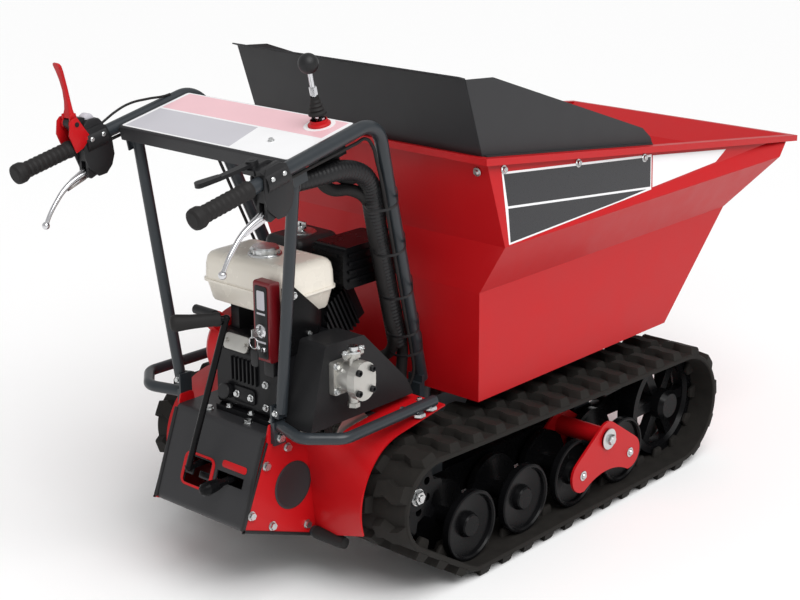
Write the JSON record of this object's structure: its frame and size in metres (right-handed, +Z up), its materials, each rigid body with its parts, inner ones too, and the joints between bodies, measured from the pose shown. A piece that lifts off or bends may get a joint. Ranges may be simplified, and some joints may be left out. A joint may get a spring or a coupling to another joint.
{
  "type": "tracked power carrier",
  "caption": "Walk-behind tracked dumper with a forward-tipping tub, rubber tracks on wheels and rocking bogies, a small engine, handles and control levers.",
  "frame": {"origin": "on the ground, below the middle of the overall box", "axes": "+X forward towards the tub lip, +Y to the machine's left, +Z up"},
  "size_m": [1.9809, 0.772, 1.1537],
  "materials": {
    "red_paint": "gloss",
    "frame_paint": "satin",
    "dark_paint": "satin",
    "black_paint": "gloss",
    "track_rubber": "matte",
    "grip_rubber": "matte",
    "bright_steel": "polished",
    "zinc_steel": "zinc",
    "cast_alloy": "cast",
    "tank_white": "gloss",
    "black_plastic": "matte",
    "black_iron": "satin"
  },
  "bodies": {
    "chassis": {"main_frame": "frame_paint", "track_frames": "black_paint", "idler_arms": "black_iron", "base_cover": "dark_paint", "side_plates": "red_paint", "mudguards": "red_paint", "guard_tubes": "frame_paint", "frame_tubes": "frame_paint", "support_tubes": "frame_paint", "dash_plate": "dark_paint", "grips": "grip_rubber", "lever_perches": "black_plastic", "control_valve": "cast_alloy", "engine_block": "black_iron", "cylinder_head": "black_iron", "fuel_tank": "tank_white", "air_filter": "black_plastic", "muffler": "black_paint", "recoil_cover": "red_paint", "start_box": "red_paint", "belt_cover": "dark_paint", "drive_belt": "grip_rubber", "pump": "cast_alloy", "gearbox": "cast_alloy", "oil_tank": "black_paint", "hoses_and_cables": "grip_rubber", "frame_bolts": "zinc_steel", "track_left": "track_rubber", "track_right": "track_rubber"},
    "left_steering": {"steering_lever_left": "bright_steel"},
    "right_steering": {"steering_lever_right": "bright_steel"},
    "deadman": {"deadman_lever": "red_paint"},
    "throttle": {"throttle_lever": "black_plastic"},
    "tip_control": {"tip_lever": "bright_steel", "lever_boot": "grip_rubber"},
    "gear": {"gear_lever": "black_paint"},
    "range": {"range_lever": "black_paint"},
    "cap": {"fuel_cap": "zinc_steel"},
    "starter_handle": {"pull_handle": "black_plastic"},
    "key": {"ignition_key": "zinc_steel"},
    "crank_pulley": {"engine_pulley": "cast_alloy"},
    "gearbox_pulley": {"driven_pulley": "cast_alloy"},
    "tub_body": {"tub": "red_paint", "tub_guard": "dark_paint"},
    "barrel": {"tip_cylinder": "black_paint"},
    "piston": {"tip_rod": "bright_steel"},
    "drive_left": {"sprocket_left": "black_iron"},
    "front_left": {"idler_left": "black_iron"},
    "rocker_left": {"bogie_left": "red_paint"},
    "wheel_left_1": {"road_wheel_left_1": "black_iron"},
    "wheel_left_2": {"road_wheel_left_2": "black_iron"},
    "wheel_left_3": {"road_wheel_left_3": "black_iron"},
    "wheel_left_4": {"road_wheel_left_4": "black_iron"},
    "drive_right": {"sprocket_right": "black_iron"},
    "front_right": {"idler_right": "black_iron"},
    "rocker_right": {"bogie_right": "red_paint"},
    "wheel_right_1": {"road_wheel_right_1": "black_iron"},
    "wheel_right_2": {"road_wheel_right_2": "black_iron"},
    "wheel_right_3": {"road_wheel_right_3": "black_iron"},
    "wheel_right_4": {"road_wheel_right_4": "black_iron"}
  },
  "joints": [
    {"name": "tub_tip", "type": "hinge", "parent": "chassis", "child": "tub_body", "pos_m": [0.446, 0, 0.338], "axis": [0, 1, 0], "range_deg": [0, 60]},
    {"name": "barrel_pitch", "type": "hinge", "parent": "chassis", "child": "barrel", "pos_m": [-0.2, 0, 0.215], "axis": [0, -1, 0], "range_deg": [0, 18.5]},
    {"name": "rod_slide", "type": "slide", "parent": "barrel", "child": "piston", "axis": [0.9684, 0, 0.2494], "range_m": [0, 0.19]},
    {"name": "steering_left", "type": "hinge", "parent": "chassis", "child": "left_steering", "pos_m": [-0.80511, 0.262, 0.89249], "axis": [0, 1, 0], "range_deg": [0, 25], "stiffness_Nm_per_rad": 1.2, "springref_deg": -14.32},
    {"name": "steering_right", "type": "hinge", "parent": "chassis", "child": "right_steering", "pos_m": [-0.80511, -0.262, 0.89249], "axis": [0, 1, 0], "range_deg": [0, 25], "stiffness_Nm_per_rad": 1.2, "springref_deg": -14.32},
    {"name": "deadman_press", "type": "hinge", "parent": "chassis", "child": "deadman", "pos_m": [-0.85031, 0.262, 0.99516], "axis": [0, -1, 0], "range_deg": [0, 65], "stiffness_Nm_per_rad": 2, "springref_deg": -17.19},
    {"name": "throttle_turn", "type": "hinge", "parent": "chassis", "child": "throttle", "pos_m": [-0.81908, -0.236, 0.98362], "axis": [-0.2156, 0, 0.9765], "range_deg": [0, 50]},
    {"name": "tip_lever_tilt", "type": "hinge", "parent": "chassis", "child": "tip_control", "pos_m": [-0.588, -0.18, 1.02235], "axis": [0, 1, 0], "range_deg": [-12, 12], "stiffness_Nm_per_rad": 6},
    {"name": "gear_shift", "type": "hinge", "parent": "chassis", "child": "gear", "pos_m": [-0.685, 0.032, 0.18], "axis": [1, 0, 0], "range_deg": [-13, 13]},
    {"name": "range_shift", "type": "hinge", "parent": "chassis", "child": "range", "pos_m": [-0.69, -0.066, 0.281], "axis": [0, 0, 1], "range_deg": [-12, 12]},
    {"name": "cap_turn", "type": "hinge", "parent": "chassis", "child": "cap", "pos_m": [-0.59, -0.02, 0.722], "axis": [0, 0, 1], "range_deg": [0, 90]},
    {"name": "starter_pull", "type": "slide", "parent": "chassis", "child": "starter_handle", "axis": [-0.7071, 0, 0.7071], "range_m": [0, 0.3], "stiffness_N_per_m": 25, "springref_m": -0.2},
    {"name": "key_turn", "type": "hinge", "parent": "chassis", "child": "key", "pos_m": [-0.7, -0.1125, 0.598], "axis": [1, 0, 0], "range_deg": [0, 60]},
    {"name": "gearbox_pulley_spin", "type": "hinge", "parent": "chassis", "child": "gearbox_pulley", "pos_m": [-0.52, -0.184, 0.338], "axis": [0, 1, 0], "continuous": true},
    {"name": "crank_pulley_spin", "type": "hinge", "parent": "chassis", "child": "crank_pulley", "pos_m": [-0.582, -0.184, 0.502], "axis": [0, 1, 0], "continuous": true},
    {"name": "drive_left_spin", "type": "hinge", "parent": "chassis", "child": "drive_left", "pos_m": [-0.461, 0.296, 0.219], "axis": [0, 1, 0], "continuous": true},
    {"name": "front_left_spin", "type": "hinge", "parent": "chassis", "child": "front_left", "pos_m": [0.466, 0.296, 0.1574], "axis": [0, 1, 0], "continuous": true},
    {"name": "rocker_left_rock", "type": "hinge", "parent": "chassis", "child": "rocker_left", "pos_m": [0.157, 0.296, 0.1734], "axis": [0, 1, 0], "range_deg": [-8, 8], "deforming": ["track_left"]},
    {"name": "wheel_left_1_spin", "type": "hinge", "parent": "chassis", "child": "wheel_left_1", "pos_m": [-0.313, 0.296, 0.1094], "axis": [0, 1, 0], "continuous": true},
    {"name": "wheel_left_2_spin", "type": "hinge", "parent": "chassis", "child": "wheel_left_2", "pos_m": [-0.125, 0.296, 0.1094], "axis": [0, 1, 0], "continuous": true},
    {"name": "wheel_left_3_spin", "type": "hinge", "parent": "rocker_left", "child": "wheel_left_3", "pos_m": [0.063, 0.296, 0.1094], "axis": [0, 1, 0], "continuous": true},
    {"name": "wheel_left_4_spin", "type": "hinge", "parent": "rocker_left", "child": "wheel_left_4", "pos_m": [0.251, 0.296, 0.1094], "axis": [0, 1, 0], "continuous": true},
    {"name": "drive_right_spin", "type": "hinge", "parent": "chassis", "child": "drive_right", "pos_m": [-0.461, -0.296, 0.219], "axis": [0, 1, 0], "continuous": true},
    {"name": "front_right_spin", "type": "hinge", "parent": "chassis", "child": "front_right", "pos_m": [0.466, -0.296, 0.1574], "axis": [0, 1, 0], "continuous": true},
    {"name": "rocker_right_rock", "type": "hinge", "parent": "chassis", "child": "rocker_right", "pos_m": [0.157, -0.296, 0.1734], "axis": [0, 1, 0], "range_deg": [-8, 8], "deforming": ["track_right"]},
    {"name": "wheel_right_1_spin", "type": "hinge", "parent": "chassis", "child": "wheel_right_1", "pos_m": [-0.313, -0.296, 0.1094], "axis": [0, 1, 0], "continuous": true},
    {"name": "wheel_right_2_spin", "type": "hinge", "parent": "chassis", "child": "wheel_right_2", "pos_m": [-0.125, -0.296, 0.1094], "axis": [0, 1, 0], "continuous": true},
    {"name": "wheel_right_3_spin", "type": "hinge", "parent": "rocker_right", "child": "wheel_right_3", "pos_m": [0.063, -0.296, 0.1094], "axis": [0, 1, 0], "continuous": true},
    {"name": "wheel_right_4_spin", "type": "hinge", "parent": "rocker_right", "child": "wheel_right_4", "pos_m": [0.251, -0.296, 0.1094], "axis": [0, 1, 0], "continuous": true}
  ],
  "couplings": [
    {"joint": "barrel_pitch", "follows": "tub_tip", "ratio": 0.3062},
    {"joint": "rod_slide", "follows": "tub_tip", "m_per_rad": 0.1801},
    {"joint": "crank_pulley_spin", "follows": "gearbox_pulley_spin", "ratio": 1.3704},
    {"joint": "front_left_spin", "follows": "drive_left_spin", "ratio": 0.73209},
    {"joint": "wheel_left_1_spin", "follows": "drive_left_spin", "ratio": 1.1692},
    {"joint": "wheel_left_2_spin", "follows": "drive_left_spin", "ratio": 1.1692},
    {"joint": "wheel_left_3_spin", "follows": "drive_left_spin", "ratio": 1.1692},
    {"joint": "wheel_left_4_spin", "follows": "drive_left_spin", "ratio": 1.1692},
    {"joint": "front_right_spin", "follows": "drive_right_spin", "ratio": 0.73209},
    {"joint": "wheel_right_1_spin", "follows": "drive_right_spin", "ratio": 1.1692},
    {"joint": "wheel_right_2_spin", "follows": "drive_right_spin", "ratio": 1.1692},
    {"joint": "wheel_right_3_spin", "follows": "drive_right_spin", "ratio": 1.1692},
    {"joint": "wheel_right_4_spin", "follows": "drive_right_spin", "ratio": 1.1692}
  ]
}
